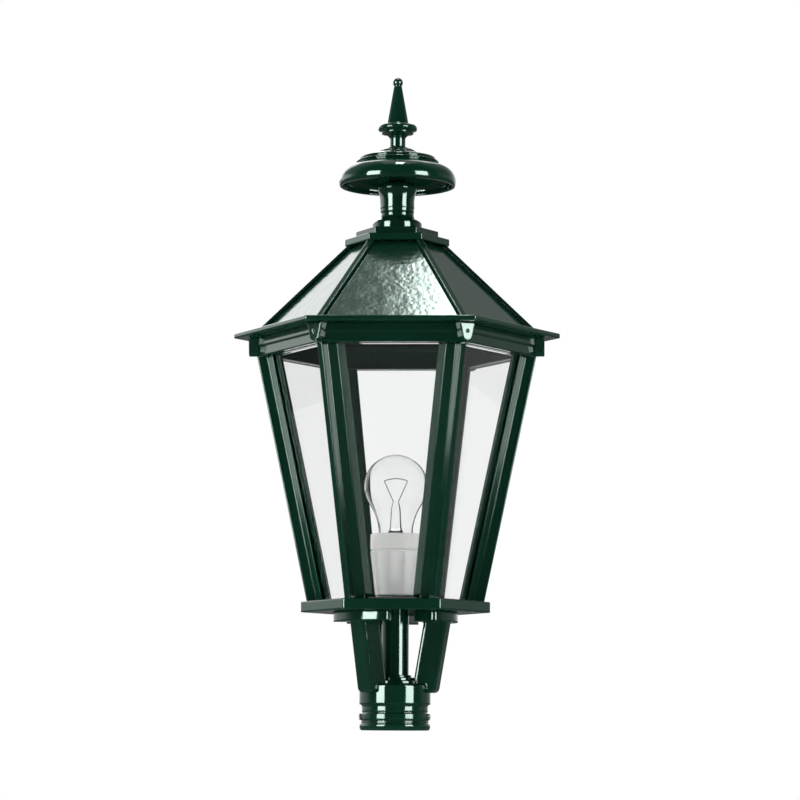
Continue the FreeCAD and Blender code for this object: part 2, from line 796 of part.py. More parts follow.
def tripod_leg(index):
    """Leaning leg with a toe over the collar's edge and a wide pad under the base plate."""
    body = new_body("tripod_leg_%d" % index)
    half = "Size.leg_width / 2"
    sketch = new_sketch(body, "XY_Plane", "Level.leg_foot")
    outline(sketch, rectangle("Level.leg_outer - Size.leg_depth", "Level.leg_outer", half))
    leaning_pad(body, sketch, "Level.pad_foot - Level.leg_foot + Size.leg_overlap", "Size.leg_lean")
    foot = number("Level.leg_foot")
    outer = number("Level.leg_outer")
    round_edges(body, lambda edge: on_outer_foot(edge, foot, outer), "Size.toe_round")
    lean = number("Size.leg_lean")
    round_edges(body, lambda edge: along(edge, lean, 1), "Size.leg_round")
    sketch = new_sketch(body, "XY_Plane", "Level.pad_foot")
    outline(sketch, sector_corners("Size.pad_inner_radius", "Size.pad_radius", "Size.pad_half_angle"),
            {1: "-Size.pad_radius", 3: "Size.pad_inner_radius"})
    pad(body, sketch, "Size.pad_height")
    top = number("Level.plate_foot")
    round_edges(body, lambda edge: below_pad_top(edge, top), "Size.pad_round")
    below = "Level.leg_foot - Size.cut_margin"
    collar = circle(new_sketch(body, "XY_Plane", below), "0", "0",
                    "Size.collar_radius + Size.seat_clearance")
    pocket(body, collar, "Level.collar_top - (%s)" % below, upwards=True)
    hub = circle(new_sketch(body, "XY_Plane", below), "0", "0",
                 "Size.flange_foot_radius + Size.seat_clearance")
    hub_top = "Level.collar_top + Size.flange_foot_height + Size.seat_clearance"
    pocket(body, hub, "%s - (%s)" % (hub_top, below), upwards=True)
    hole = circle(new_sketch(body, "XY_Plane", "Level.plate_foot"), "Level.leg_screw_circle", "0",
                  "Size.leg_screw_radius + Size.screw_clearance")
    pocket(body, hole, "Size.leg_screw_length - Size.plate_height + Size.leg_screw_end_gap")
    turn_about_z(body, "Size.leg_turn + 360 / Size.legs * %d" % (index - 1))


def on_outer_foot(edge, foot, outer):
    """True for the leg's lowest outer edge."""
    spots = [vertex.Point for vertex in edge.Vertexes]
    low = max(spot.z for spot in spots) < foot + NEAR
    return low and min(spot.x for spot in spots) > outer - NEAR


def below_pad_top(edge, top):
    """True for the pad's upright corners."""
    return along(edge, 0, 1) and abs(max(spot.Point.z for spot in edge.Vertexes) - top) < NEAR


def leg_screws():
    """Screws from inside the cage through the base plate into the leg pads."""
    body = new_body("leg_screws", group=True)
    turned_screws(body, "Level.leg_screw_circle", "Level.plate_top + Size.leg_screw_head_height", True,
                  ("Size.leg_screw_head_radius", "Size.leg_screw_head_height"),
                  "Size.leg_screw_radius", "Size.leg_screw_length", "Size.legs")
    turn_about_z(body, "Size.leg_turn")


# ---------------------------------------------------------------- glazed cage

def base_plate():
    """Cast six-sided plate with holes for the tube, the legs' screws and the posts' screws."""
    body = new_body("base_plate")
    sketch = outline(new_sketch(body, "XY_Plane", "Level.plate_foot"), hexagon_corners("Size.plate_radius"))
    pad(body, sketch, "Size.plate_height")
    round_edges(body, lambda edge: along(edge, 0, 1), "Size.plate_round")
    flat = number("Size.plate_radius * sqrt(3) / 2")
    faces = [number("Level.plate_foot"), number("Level.plate_top")]
    round_edges(body, lambda edge: level_rim(edge, flat, faces), "Size.plate_edge")
    centre = circle(new_sketch(body, "XY_Plane", "Level.plate_foot"), "0", "0",
                    "Size.tube_radius + Size.screw_clearance")
    pocket(body, centre, "Size.plate_height", upwards=True)
    drill_ring(body, "Level.foot_screw_circle", "Level.plate_foot",
               "Size.screw_head_radius + Size.screw_clearance",
               "Size.screw_head_height + Size.screw_clearance", True, "Size.corners")
    drill_ring(body, "Level.foot_screw_circle", "Level.plate_foot",
               "Size.screw_radius + Size.screw_clearance", "Size.plate_height", True, "Size.corners")
    for index in range(int(number("Size.legs"))):
        angle = "Size.leg_turn + 360 / Size.legs * %d" % index
        sketch = new_sketch(body, "XY_Plane", "Level.plate_foot")
        circle(sketch, "Level.leg_screw_circle * cos((%s) * 1deg)" % angle,
               "Level.leg_screw_circle * sin((%s) * 1deg)" % angle,
               "Size.leg_screw_radius + Size.screw_clearance")
        pocket(body, sketch, "Size.plate_height", upwards=True)


def post_point(u, v, side):
    """Point of the post's section: u along the pane's plane from the corner, v behind it."""
    outer = "Size.post_foot_radius - Size.nose_depth"
    x = "%s - (%s) / 2 - (%s) * sqrt(3) / 2" % (outer, u, v)
    y = "%s((%s) * sqrt(3) / 2 - (%s) / 2)" % (side, u, v)
    return x, y


def post_half(side):
    """The section's corners on one side, from the nose to the inner wing."""
    nose_root = "Size.nose_width / sqrt(3)"
    lip_end = nose_root + " + Size.lip_width"
    floor = nose_root + " + Size.groove_floor"
    wing_end = nose_root + " + Size.wing_width"
    behind_lip = "Size.lip_wall"
    behind_glass = "Size.lip_wall + Size.glass_groove"
    behind_wing = "Size.lip_wall + Size.glass_groove + Size.wing_wall"
    return [
        ("Size.post_foot_radius", "%sSize.nose_width / 2" % side),
        post_point(nose_root, "0", side),
        post_point(lip_end, "0", side),
        post_point(lip_end, behind_lip, side),
        post_point(floor, behind_lip, side),
        post_point(floor, behind_glass, side),
        post_point(wing_end, behind_glass, side),
        post_point(wing_end, behind_wing, side),
    ]


def corner_post(index):
    """Leaning extrusion with a nose bar, two outer lips and two inner wings."""
    body = new_body("corner_post_%d" % index)
    inner = ("Size.post_foot_radius - Size.nose_depth - (Size.lip_wall + Size.glass_groove"
             " + Size.wing_wall) * 2 / sqrt(3)")
    corners = post_half("+") + [(inner, "0")] + list(reversed(post_half("-")))
    sketch = outline(new_sketch(body, "XY_Plane", "Level.plate_top"), corners)
    leaning_pad(body, sketch, "Size.post_height", "Size.post_lean")
    nose = number("Size.post_foot_radius")
    foot = number("Level.plate_top")
    lean = number("Size.post_lean")
    round_edges(body, lambda edge: on_nose(edge, nose, foot, lean), "Size.nose_round")
    lips = [post_point("Size.nose_width / sqrt(3) + Size.lip_width", "0", side) for side in "+-"]
    corners = [FreeCAD.Vector(number(x), number(y), foot) for x, y in lips]
    round_edges(body, lambda edge: stands_on(edge, corners), "Size.lip_round")
    hole = circle(new_sketch(body, "XY_Plane", "Level.plate_top"), "Level.foot_screw_circle", "0",
                  "Size.screw_radius + Size.screw_clearance")
    pocket(body, hole, "Size.screw_length", upwards=True)
    hole = circle(new_sketch(body, "XY_Plane", "Level.post_top"), "Level.head_screw_circle", "0",
                  "Size.screw_radius + Size.screw_clearance")
    pocket(body, hole, "Size.screw_length")
    turn_about_z(body, "360 / Size.corners * %d" % (index - 1))


def stands_on(edge, corners):
    """True for a climbing edge whose lower end is one of the corners."""
    low, high = sorted((vertex.Point for vertex in edge.Vertexes), key=lambda spot: spot.z)
    return high.z - low.z > NEAR and any((low - corner).Length < NEAR for corner in corners)


def on_nose(edge, nose, foot, lean):
    """True for the two long outer edges of the nose bar."""
    if not along(edge, lean, 1):
        return False
    low = min(edge.Vertexes, key=lambda vertex: vertex.Point.z).Point
    return abs(low.x - nose - (low.z - foot) * lean) < NEAR


def cage_screws():
    """Screws up through the base plate and down through the cage ring into the posts."""
    body = new_body("cage_screws", group=True)
    head = ("Size.screw_head_radius", "Size.screw_head_height")
    reach = "Size.screw_length - Size.screw_end_gap"
    turned_screws(body, "Level.foot_screw_circle", "Level.plate_foot", False, head,
                  "Size.screw_radius", "Size.plate_height - Size.screw_head_height + " + reach,
                  "Size.corners")
    turned_screws(body, "Level.head_screw_circle",
                  "Level.post_top + Size.foot_bar + Size.screw_head_height", True, head,
                  "Size.screw_radius", "Size.foot_bar + " + reach, "Size.corners")


def pane_section(body, height, shift):
    """Sketch of a pane's cut at a height; shift is the corner radius gained up to there."""
    outer = "(Size.post_foot_radius + (%s) - Size.nose_depth)" % shift
    front = "%s * sqrt(3) / 2 - Size.lip_wall - (Size.glass_groove - Size.glass_wall) / 2" % outer
    half = "%s / 2 - Size.nose_width / sqrt(3) - Size.groove_floor - Size.seat_clearance * 2" % outer
    sketch = new_sketch(body, "XY_Plane", height)
    return outline(sketch, rectangle("%s - Size.glass_wall" % front, front, half))


def glass_pane(index):
    """Trapezoid of flat glass that stands in the grooves of two posts."""
    body = new_body("glass_pane_%d" % index)
    foot = pane_section(body, "Level.glass_foot", "Size.post_lean * Size.strip_height")
    head = pane_section(body, "Level.post_top - Size.seat_clearance",
                        "Size.post_lean * (Size.post_height - Size.seat_clearance)")
    loft(body, foot, head)
    turn_about_z(body, "360 / Size.corners * (%d - 0.5)" % index)


def loft(body, foot, head):
    feature = body.newObject("PartDesign::AdditiveLoft", body.Name + "_loft")
    feature.Profile = foot
    feature.Sections = [head]
    feature.Ruled = True
    doc.recompute()
    return feature


def pane_strips():
    """Rubber strips on which the panes stand."""
    body = new_body("pane_strips", group=True)
    outer = "(Size.post_foot_radius - Size.nose_depth)"
    front = "%s * sqrt(3) / 2 - Size.lip_wall - Size.running_clearance" % outer
    sketch = new_sketch(body, "XY_Plane", "Level.plate_top")
    outline(sketch, rectangle("%s - Size.glass_wall" % front, front, "Size.strip_length / 2"))
    feature = pad(body, sketch, "Size.strip_height")
    ring_of(body, [feature], "Size.corners")
    turn_about_z(body, "180 / Size.corners")


def cage_ring():
    """Six-sided band on the posts' heads, with a foot that takes the upper screws."""
    body = new_body("cage_ring")
    sketch = outline(new_sketch(body, "XY_Plane", "Level.post_top"), hexagon_corners("Level.ring_radius"))
    outline(sketch, hexagon_corners("(Level.ring_radius - Size.foot_reach)"))
    pad(body, sketch, "Size.foot_bar")
    sketch = outline(new_sketch(body, "XY_Plane", "Level.post_top"), hexagon_corners("Level.ring_radius"))
    outline(sketch, hexagon_corners("(Level.ring_radius - Size.ring_wall)"))
    pad(body, sketch, "Size.ring_height")
    drill_ring(body, "Level.head_screw_circle", "Level.post_top",
               "Size.screw_radius + Size.screw_clearance", "Size.foot_bar", True, "Size.corners")


# ---------------------------------------------------------------- lift-off roof

def eave_flange():
    """Flat six-sided eave with a wide opening for the heat."""
    body = new_body("eave_flange")
    sketch = outline(new_sketch(body, "XY_Plane", "Level.ring_top"), hexagon_corners("Level.eave_radius"))
    pad(body, sketch, "Size.eave_wall")
    round_edges(body, lambda edge: along(edge, 0, 1), "Size.eave_round")
    flat = number("Level.eave_radius * sqrt(3) / 2")
    faces = [number("Level.ring_top"), number("Level.roof_foot")]
    round_edges(body, lambda edge: level_rim(edge, flat, faces), "Size.eave_edge")
    throat = outline(new_sketch(body, "XY_Plane", "Level.ring_top"),
                     hexagon_corners("Size.eave_hole_radius"))
    pocket(body, throat, "Size.eave_wall", upwards=True)


def eave_skirt():
    """Two-step band that drops over the cage ring, drilled for the brackets' rivets."""
    body = new_body("eave_skirt")
    sketch = outline(new_sketch(body, "XY_Plane", "Level.skirt_foot"),
                     hexagon_corners("Level.skirt_band_radius"))
    outline(sketch, hexagon_corners("Level.skirt_inner_radius"))
    pad(body, sketch, "Level.ring_top - Level.skirt_foot")
    sketch = outline(new_sketch(body, "XY_Plane", "Level.skirt_step_height"),
                     hexagon_corners("Level.skirt_radius"))
    outline(sketch, hexagon_corners("Level.skirt_inner_radius"))
    pad(body, sketch, "Level.ring_top - Level.skirt_step_height")
    for radius, height in (("Level.skirt_band_radius", "Level.skirt_foot"),
                           ("Level.skirt_radius", "Level.skirt_step_height")):
        reach = number(radius) - NEAR
        edge_height = [number(height)]
        round_edges(body, lambda edge: level_rim(edge, reach, edge_height), "Size.skirt_edge")
    inside = "Level.skirt_inner_radius - Size.cut_margin"
    feature = rivet_hole(body, inside, "Level.skirt_radius - (%s)" % inside)
    ring_of(body, [feature], "Size.corners")


def rivet_hole(body, start, length):
    """Radial hole for a bracket's rivet, from the distance start outwards."""
    sketch = circle(new_sketch(body, "YZ_Plane", start), "0", "Level.rivet_axis",
                    "Size.rivet_radius + Size.screw_clearance")
    return pocket(body, sketch, length, upwards=True)


def shield_corners():
    """Outline of a corner bracket seen from outside: straight top, tapered sides."""
    half = "Size.bracket_width / 2"
    turn = "(Level.skirt_foot + Level.bracket_waist)"
    return [(half, "Level.ring_top"), ("-" + half, "Level.ring_top"),
            ("-Level.bracket_waist", turn), ("Level.bracket_waist", turn)]


def corner_brackets():
    """Shield shaped brackets whose hollow backs fit the skirt's stepped corners."""
    body = new_body("corner_brackets", group=True)
    sketch = new_sketch(body, "YZ_Plane", "Level.bracket_back")
    outline(sketch, shield_corners(), {2: "-1.0001 * Level.bracket_waist"})
    plate = pad(body, sketch, "Level.bracket_face - Level.bracket_back")
    below = "Level.skirt_foot - Size.cut_margin"
    above = "Level.ring_top + Size.cut_margin"
    back = outline(new_sketch(body, "XY_Plane", below), hexagon_corners("Level.skirt_band_radius"))
    notch = pocket(body, back, "%s - (%s)" % (above, below), upwards=True)
    back = outline(new_sketch(body, "XY_Plane", "Level.skirt_step_height"),
                   hexagon_corners("Level.skirt_radius"))
    step = pocket(body, back, "%s - Level.skirt_step_height" % above, upwards=True)
    hole = rivet_hole(body, "Level.bracket_back", "Level.bracket_face - Level.bracket_back")
    ring_of(body, [plate, notch, step, hole], "Size.corners")
    face = number("Level.bracket_face")
    round_edges(body, lambda edge: on_shield_face(edge, face), "Size.bracket_round")


def on_shield_face(edge, face):
    """True for the outer edges of a bracket's face, and not for the rivet's hole."""
    if len(edge.Vertexes) < 2:
        return False
    corners = int(number("Size.corners"))
    for index in range(corners):
        turn = 2 * math.pi * index / corners
        outwards = FreeCAD.Vector(math.cos(turn), math.sin(turn), 0)
        if all(abs(spot.Point.dot(outwards) - face) < NEAR for spot in edge.Vertexes):
            return True
    return False


def bracket_rivets():
    """Radial rivets that hold the brackets to the skirt, flush with the shields."""
    body = new_body("bracket_rivets", group=True)
    sketch = circle(new_sketch(body, "YZ_Plane", "Level.skirt_inner_radius"), "0",
                    "Level.rivet_axis", "Size.rivet_radius")
    shank = pad(body, sketch, "Level.bracket_face - Level.skirt_inner_radius")
    ring_of(body, [shank], "Size.corners")


def panel_section(body, height, radius):
    """Horizontal cut of a roof panel whose outer faces meet at a corner radius."""
    front = "(%s) * sqrt(3) / 2" % radius
    back = front + " - Size.panel_wall * sqrt(1 + (Size.roof_slope * sqrt(3) / 2) ^ 2)"
    front_half = "((%s) / sqrt(3) - Size.panel_gap / 2)" % front
    back_half = "((%s) / sqrt(3) - Size.panel_gap / 2)" % back
    sketch = new_sketch(body, "XY_Plane", height)
    return outline(sketch, [(back, "-" + back_half), (front, "-" + front_half),
                            (front, front_half), (back, back_half)])


def roof_panel(index):
    """Sloping trapezoid of sheet metal, mitred to its neighbours."""
    body = new_body("roof_panel_%d" % index)
    foot = panel_section(body, "Level.roof_foot", "Level.skirt_radius - Level.hip_drop")
    head = panel_section(body, "Level.crown_foot", "Level.roof_head_radius - Level.hip_drop")
    loft(body, foot, head)
    turn_about_z(body, "360 / Size.corners * (%d - 0.5)" % index)


def hip_bar(index):
    """Flat strip over the joint between two roof panels."""
    body = new_body("hip_bar_%d" % index)
    outer = "Level.skirt_radius"
    sketch = outline(new_sketch(body, "XY_Plane", "Level.roof_foot"),
                     rectangle("%s - Level.hip_drop" % outer, outer, "Size.hip_width / 2"))
    leaning_pad(body, sketch, "Size.roof_rise", "-Size.roof_slope")
    lean = number("-Size.roof_slope")
    foot = number("Level.roof_foot")
    nose = number("Level.skirt_radius")
    round_edges(body, lambda edge: on_nose(edge, nose, foot, lean), "Size.hip_round")
    turn_about_z(body, "360 / Size.corners * %d" % (index - 1))


def crown_tiers():
    """Two six-sided tiers that close the top of the roof."""
    body = new_body("crown_tiers")
    sketch = outline(new_sketch(body, "XY_Plane", "Level.crown_foot"), hexagon_corners("Size.crown_radius"))
    pad(body, sketch, "Size.crown_height")
    sketch = outline(new_sketch(body, "XY_Plane", "Level.tier_foot"), hexagon_corners("Size.tier_radius"))
    pad(body, sketch, "Size.tier_height")
    round_edges(body, on_tier_rim, "Size.tier_edge")
    hole = circle(new_sketch(body, "XY_Plane", "Level.crown_foot"), "0", "0",
                  "Size.rod_radius + Size.screw_clearance")
    pocket(body, hole, "Level.ogee_foot - Level.crown_foot", upwards=True)


def on_tier_rim(edge):
    """True for the tiers' upright corners and for their level outer edges."""
    middle = number("Level.tier_foot")
    top = number("Level.ogee_foot")
    foot = number("Level.crown_foot")
    wide = number("Size.crown_radius") - NEAR
    narrow = number("Size.tier_radius") - NEAR
    if level_rim(edge, wide, [foot, middle]) or level_rim(edge, narrow, [top]):
        return True
    return along(edge, 0, 1)


def crown_ogee():
    """Round turned foot that sweeps in to the neck."""
    body = new_body("crown_ogee")
    bore = "Size.rod_radius + Size.screw_clearance"
    shelf = "Size.ogee_radius - Size.ogee_edge"
    revolve(body, [
        (bore, "Level.ogee_foot"),
        ("Size.ogee_radius - Size.ogee_lip", "Level.ogee_foot"),
        ("Size.ogee_radius", "Level.ogee_foot + Size.ogee_edge"),
        ("Size.ogee_radius", "Level.ogee_shelf - Size.ogee_edge"),
        (shelf, "Level.ogee_shelf"),
        ("%s - Size.ogee_cove_run" % shelf, "Level.ogee_shelf + Size.ogee_cove_height"),
        ("Size.neck_radius + Size.ogee_sweep_run", "Level.ogee_shelf + Size.ogee_sweep_height"),
        ("Size.neck_radius", "Level.neck_foot"),
        (bore, "Level.neck_foot"),
    ], {4: "-Size.ogee_cove_bend", 5: "Size.ogee_sweep_bend"})


def neck():
    """Turned neck with a low ring, a flare and a round shoulder under the dome."""
    body = new_body("neck")
    bore = "Size.rod_radius + Size.screw_clearance"
    ring = "Size.neck_radius + Size.neck_ring_proud"
    flare = "(%s + Size.neck_flare)" % ring
    revolve(body, [
        (bore, "Level.neck_foot"),
        (ring + " - Size.neck_foot_inset", "Level.neck_foot"),
        (ring + " - Size.neck_foot_inset", "Level.neck_band_top - Size.neck_edge_height"),
        (ring, "Level.neck_band_top"),
        (flare, "Level.shoulder_foot"),
        ("Size.stem_radius + Size.shoulder_run", "Level.stem_foot - Size.shoulder_drop"),
        ("Size.stem_radius", "Level.stem_foot"),
        ("Size.stem_radius", "Level.dome_ceiling"),
        (bore, "Level.dome_ceiling"),
    ], {3: "Size.neck_bend", 4: "-Size.shoulder_round * 1.12"})


def dome_cap():
    """Hollow turned cap with a rolled rim, two rings and a shallow cone on top."""
    body = new_body("dome_cap")
    bore = "Size.rod_radius + Size.screw_clearance"
    wall = "Size.dome_wall"
    inner_arc = "(Size.dome_round - %s)" % wall
    ceiling_foot = "Level.dome_arc_top - %s * 1.1" % wall
    revolve(body, [
        ("Size.dome_radius - Size.rim_tuck", "Level.dome_foot"),
        ("Size.dome_radius", "Level.dome_side"),
        ("Level.dome_arc_radius", "Level.dome_arc_top"),
        ("Size.dome_ring_radius - Size.ring_tuck", "Level.dome_ring_foot - Size.ring_seat"),
        ("Size.dome_ring_radius - Size.ring_tuck", "Level.dome_ring_foot + Size.ring_seat"),
        ("Size.dome_ring_radius", "Level.dome_ring_foot + Size.ring_lip"),
        ("Size.dome_ring_radius - Size.ring_break", "Level.dome_step_foot - Size.ring_edge"),
        ("Size.dome_step_radius - Size.step_tuck", "Level.dome_step_foot"),
        ("Size.dome_step_radius - Size.step_tuck", "Level.dome_step_foot + Size.step_seat"),
        ("Size.dome_step_radius", "Level.dome_step_foot + Size.step_lip"),
        ("Size.dome_step_radius - Size.step_break", "Level.dome_cone_foot"),
        ("Size.dome_top_radius", "Level.dome_top - Size.top_edge"),
        ("Size.dome_top_radius", "Level.dome_top"),
        (bore, "Level.dome_top"),
        (bore, "Level.dome_ceiling"),
        ("Size.dome_top_radius", "Level.dome_ceiling"),
        ("Size.dome_ring_radius - %s" % wall, "Level.dome_ring_foot - %s * 0.6" % wall),
        ("Level.dome_arc_radius - %s * 0.6" % wall, ceiling_foot),
        ("Size.dome_radius - %s" % wall, "Level.dome_side"),
        ("Size.dome_radius - %s" % wall, "Level.dome_foot"),
    ], {0: "-Size.rim_bend", 1: "-Size.dome_round * 1.01", 17: inner_arc + " * 1.05"})


def finial():
    """Turned finial: button, cup, disc, spire and ball, with a blind hole for the rod."""
    body = new_body("finial")
    bore = "Size.rod_radius + Size.running_clearance"
    blind = "Level.rod_top + Size.rod_spare"
    revolve(body, [
        (bore, "Level.dome_top"),
        ("Size.button_radius - Size.button_break", "Level.dome_top"),
        ("Size.button_radius", "Level.dome_top + Size.button_edge"),
        ("Size.button_radius - Size.button_run", "Level.dome_top + Size.button_shoulder"),
        ("Size.stalk_radius + Size.stalk_flare", "Level.finial_stalk - Size.stalk_flare_height"),
        ("Size.stalk_radius", "Level.finial_stalk"),
        ("Size.stalk_radius", "Level.finial_cup"),
        ("Size.cup_radius", "Level.finial_rim"),
        ("Size.cup_radius + Size.rim_proud", "Level.finial_rim + Size.rim_edge"),
        ("Size.cup_radius + Size.rim_proud", "Level.finial_disc"),
        ("Size.disc_radius - Size.disc_break", "Level.finial_disc + Size.disc_low_height"),
        ("Size.disc_radius", "Level.finial_disc + Size.disc_wide_height"),
        ("Size.disc_radius - Size.disc_top_run", "Level.finial_disc + Size.disc_top_height"),
        ("Size.spire_radius + Size.spire_flare", "Level.finial_spire - Size.spire_flare_height"),
        ("Size.spire_radius", "Level.finial_spire"),
        ("Size.spire_tip_radius", "Level.finial_neck"),
        ("Size.spire_tip_radius - Size.tip_step", "Level.ball_foot"),
        ("Size.ball_radius", "Level.ball_middle"),
        ("0", "Level.ball_middle + Size.ball_radius"),
        ("0", blind),
        (bore, blind),
    ], {3: "-Size.button_bend", 6: "Size.cup_radius * 0.52", 10: "-Size.disc_wide_bend",
        11: "-Size.disc_top_bend", 16: "-Size.ball_radius", 17: "-Size.ball_radius"})


def tie_rod():
    """Rod through crown, neck and dome, with a hexagon nut under the crown."""
    body = new_body("tie_rod")
    sketch = outline(new_sketch(body, "XY_Plane", "Level.rod_foot"),
                     hexagon_corners("Size.rod_nut_across_corners / 2"))
    pad(body, sketch, "Size.rod_nut_height")
    sketch = circle(new_sketch(body, "XY_Plane", "Level.crown_foot"), "0", "0", "Size.rod_radius")
    pad(body, sketch, "Level.rod_top - Level.crown_foot")


# ---------------------------------------------------------------- lampholder and lamp

def holder_bracket():
    """Round steel plate between the tube's nut and the porcelain."""
    body = new_body("holder_bracket")
    sketch = circle(new_sketch(body, "XY_Plane", "Level.tube_top"), "0", "0", "Size.saddle_radius")
    circle(sketch, "0", "0", "Size.saddle_bore")
    pad(body, sketch, "Size.saddle_height")


def lampholder_body():
    """Tapered porcelain body with a stepped hollow for the screw shell."""
    body = new_body("lampholder_body")
    revolve(body, [
        ("Size.cable_hole_radius", "Level.holder_foot"),
        ("Size.holder_foot_radius - Size.glaze_edge", "Level.holder_foot"),
        ("Size.holder_foot_radius", "Level.holder_foot + Size.glaze_edge"),
        ("Size.holder_radius", "Level.holder_top - Size.glaze_edge"),
        ("Size.holder_radius - Size.glaze_edge", "Level.holder_top"),
        ("Size.holder_bore", "Level.holder_top"),
        ("Size.holder_bore", "Level.shell_foot"),
        ("Size.cable_hole_radius", "Level.shell_foot"),
    ], {1: "-Size.glaze_edge", 3: "-Size.glaze_edge"})


def lampholder_ring():
    """Porcelain shade ring that screws on to the body around the lamp's neck."""
    body = new_body("lampholder_ring")
    revolve(body, [
        ("Size.holder_bore", "Level.holder_top"),
        ("Size.holder_radius - Size.seam_inset", "Level.holder_top"),
        ("Size.holder_radius - Size.seam_inset", "Level.mouth_foot"),
        ("Size.holder_radius", "Level.mouth_foot + Size.glaze_edge"),
        ("Size.holder_radius", "Level.mouth_top - Size.mouth_round"),
        ("Size.holder_radius - Size.mouth_round", "Level.mouth_top"),
        ("Size.holder_mouth + Size.mouth_break", "Level.mouth_top"),
        ("Size.holder_mouth", "Level.mouth_top - Size.mouth_break"),
    ], {4: "-Size.mouth_round"})


def thread_profile(crest, pitch, foot, turns):
    """Half outline of a rolled thread as rings, from the bottom up."""
    points = []
    root = "%s - Size.thread_depth" % crest
    for turn in range(turns):
        start = "%s + %s * %d" % (foot, pitch, turn)
        points.append((root, start))
        points.append((crest, "%s + %s * 0.5" % (start, pitch)))
    points.append((root, "%s + %s * %d" % (foot, pitch, turns)))
    return points


def screw_shell():
    """Thin brass shell in the lampholder, open at the top, with a holed floor."""
    body = new_body("screw_shell")
    outer = "Size.shell_radius"
    inner = "Size.shell_radius - Size.shell_wall"
    hole = "Size.contact_radius + Size.shell_floor_gap"
    revolve(body, [
        (hole, "Level.shell_foot"),
        (outer, "Level.shell_foot"),
        (outer, "Level.shell_foot + Size.shell_height"),
        (inner, "Level.shell_foot + Size.shell_height"),
        (inner, "Level.shell_foot + Size.shell_wall"),
        (hole, "Level.shell_foot + Size.shell_wall"),
    ])


def centre_contact():
    """Sprung brass button in the middle of the lampholder's floor."""
    body = new_body("centre_contact")
    base = "Size.cable_hole_radius - Size.screw_clearance"
    base_foot = "Level.holder_foot + Size.contact_seat"
    base_top = base_foot + " + Size.contact_base_height"
    stem = "Size.contact_radius - Size.contact_stem_inset"
    disc_foot = "Level.contact_top - Size.contact_disc_height"
    revolve(body, [
        ("0", base_foot),
        (base, base_foot),
        (base, base_top),
        (stem, base_top),
        (stem, disc_foot + " - Size.contact_bevel"),
        ("Size.contact_radius", disc_foot),
        ("Size.contact_radius", "Level.contact_top"),
        ("0", "Level.contact_top"),
    ])


def bulb_glass():
    """Thin clear envelope: a sphere that draws in to the neck."""
    body = new_body("bulb_glass")
    wall = "Size.bulb_wall"
    ball = "Level.bulb_top - Size.bulb_radius"
    across = "cos(Size.bulb_shoulder_turn * 1deg)"
    down = "sin(Size.bulb_shoulder_turn * 1deg)"
    inner = "(Size.bulb_radius - %s)" % wall
    revolve(body, [
        ("Size.bulb_throat", "Level.cap_top"),
        ("Size.bulb_neck_radius", "Level.bulb_neck"),
        ("Size.bulb_radius * " + across, "%s - Size.bulb_radius * %s" % (ball, down)),
        ("Size.bulb_radius", ball),
        ("0", "Level.bulb_top"),
        ("0", "Level.bulb_top - " + wall),
        (inner, ball),
        ("%s * %s" % (inner, across), "%s - %s * %s" % (ball, inner, down)),
        ("Size.bulb_neck_radius - " + wall, "Level.bulb_neck"),
        ("Size.bulb_throat - " + wall, "Level.cap_top"),
    ], {1: "Size.bulb_sweep", 2: "-Size.bulb_radius", 3: "-Size.bulb_radius",
        5: inner, 6: inner, 7: "-Size.bulb_sweep - " + wall})


def bulb_cap():
    """Threaded lamp cap with an insulated end and a soldered contact tip."""
    body = new_body("bulb_cap")
    root = "Size.cap_radius - Size.thread_depth"
    thread_foot = "Level.cap_foot + Size.cap_thread_foot"
    turns = 4
    corners = [
        ("0", "Level.bulb_foot"),
        ("Size.tip_radius - Size.tip_break", "Level.bulb_foot"),
        ("Size.tip_radius", "Level.cap_foot - Size.tip_seat"),
        ("Size.tip_radius + Size.insulator_reach", "Level.cap_foot"),
        (root, "Level.cap_foot + Size.cap_cone_height"),
    ]
    corners += thread_profile("Size.cap_radius", "Size.thread_pitch", thread_foot, turns)
    corners += [
        (root, "Level.cap_top - Size.cap_thread_end"),
        ("Size.cap_radius", "Level.cap_top - Size.cap_band_height"),
        ("Size.cap_radius", "Level.cap_top"),
        ("0", "Level.cap_top"),
    ]
    revolve(body, corners)


def bulb_stem():
    """Glass stem that stands on the cap inside the envelope and carries the leads."""
    body = new_body("bulb_stem")
    revolve(body, [
        ("0", "Level.cap_top"),
        ("Size.stem_foot_radius", "Level.cap_top"),
        ("Size.press_radius", "Level.cap_top + Size.stem_cone_height"),
        ("Size.press_radius - Size.press_taper", "Level.press_top - Size.press_flat_height"),
        ("Size.press_radius - Size.press_edge", "Level.press_top"),
        ("0", "Level.press_top"),
    ], {1: "Size.stem_cone_bend"})


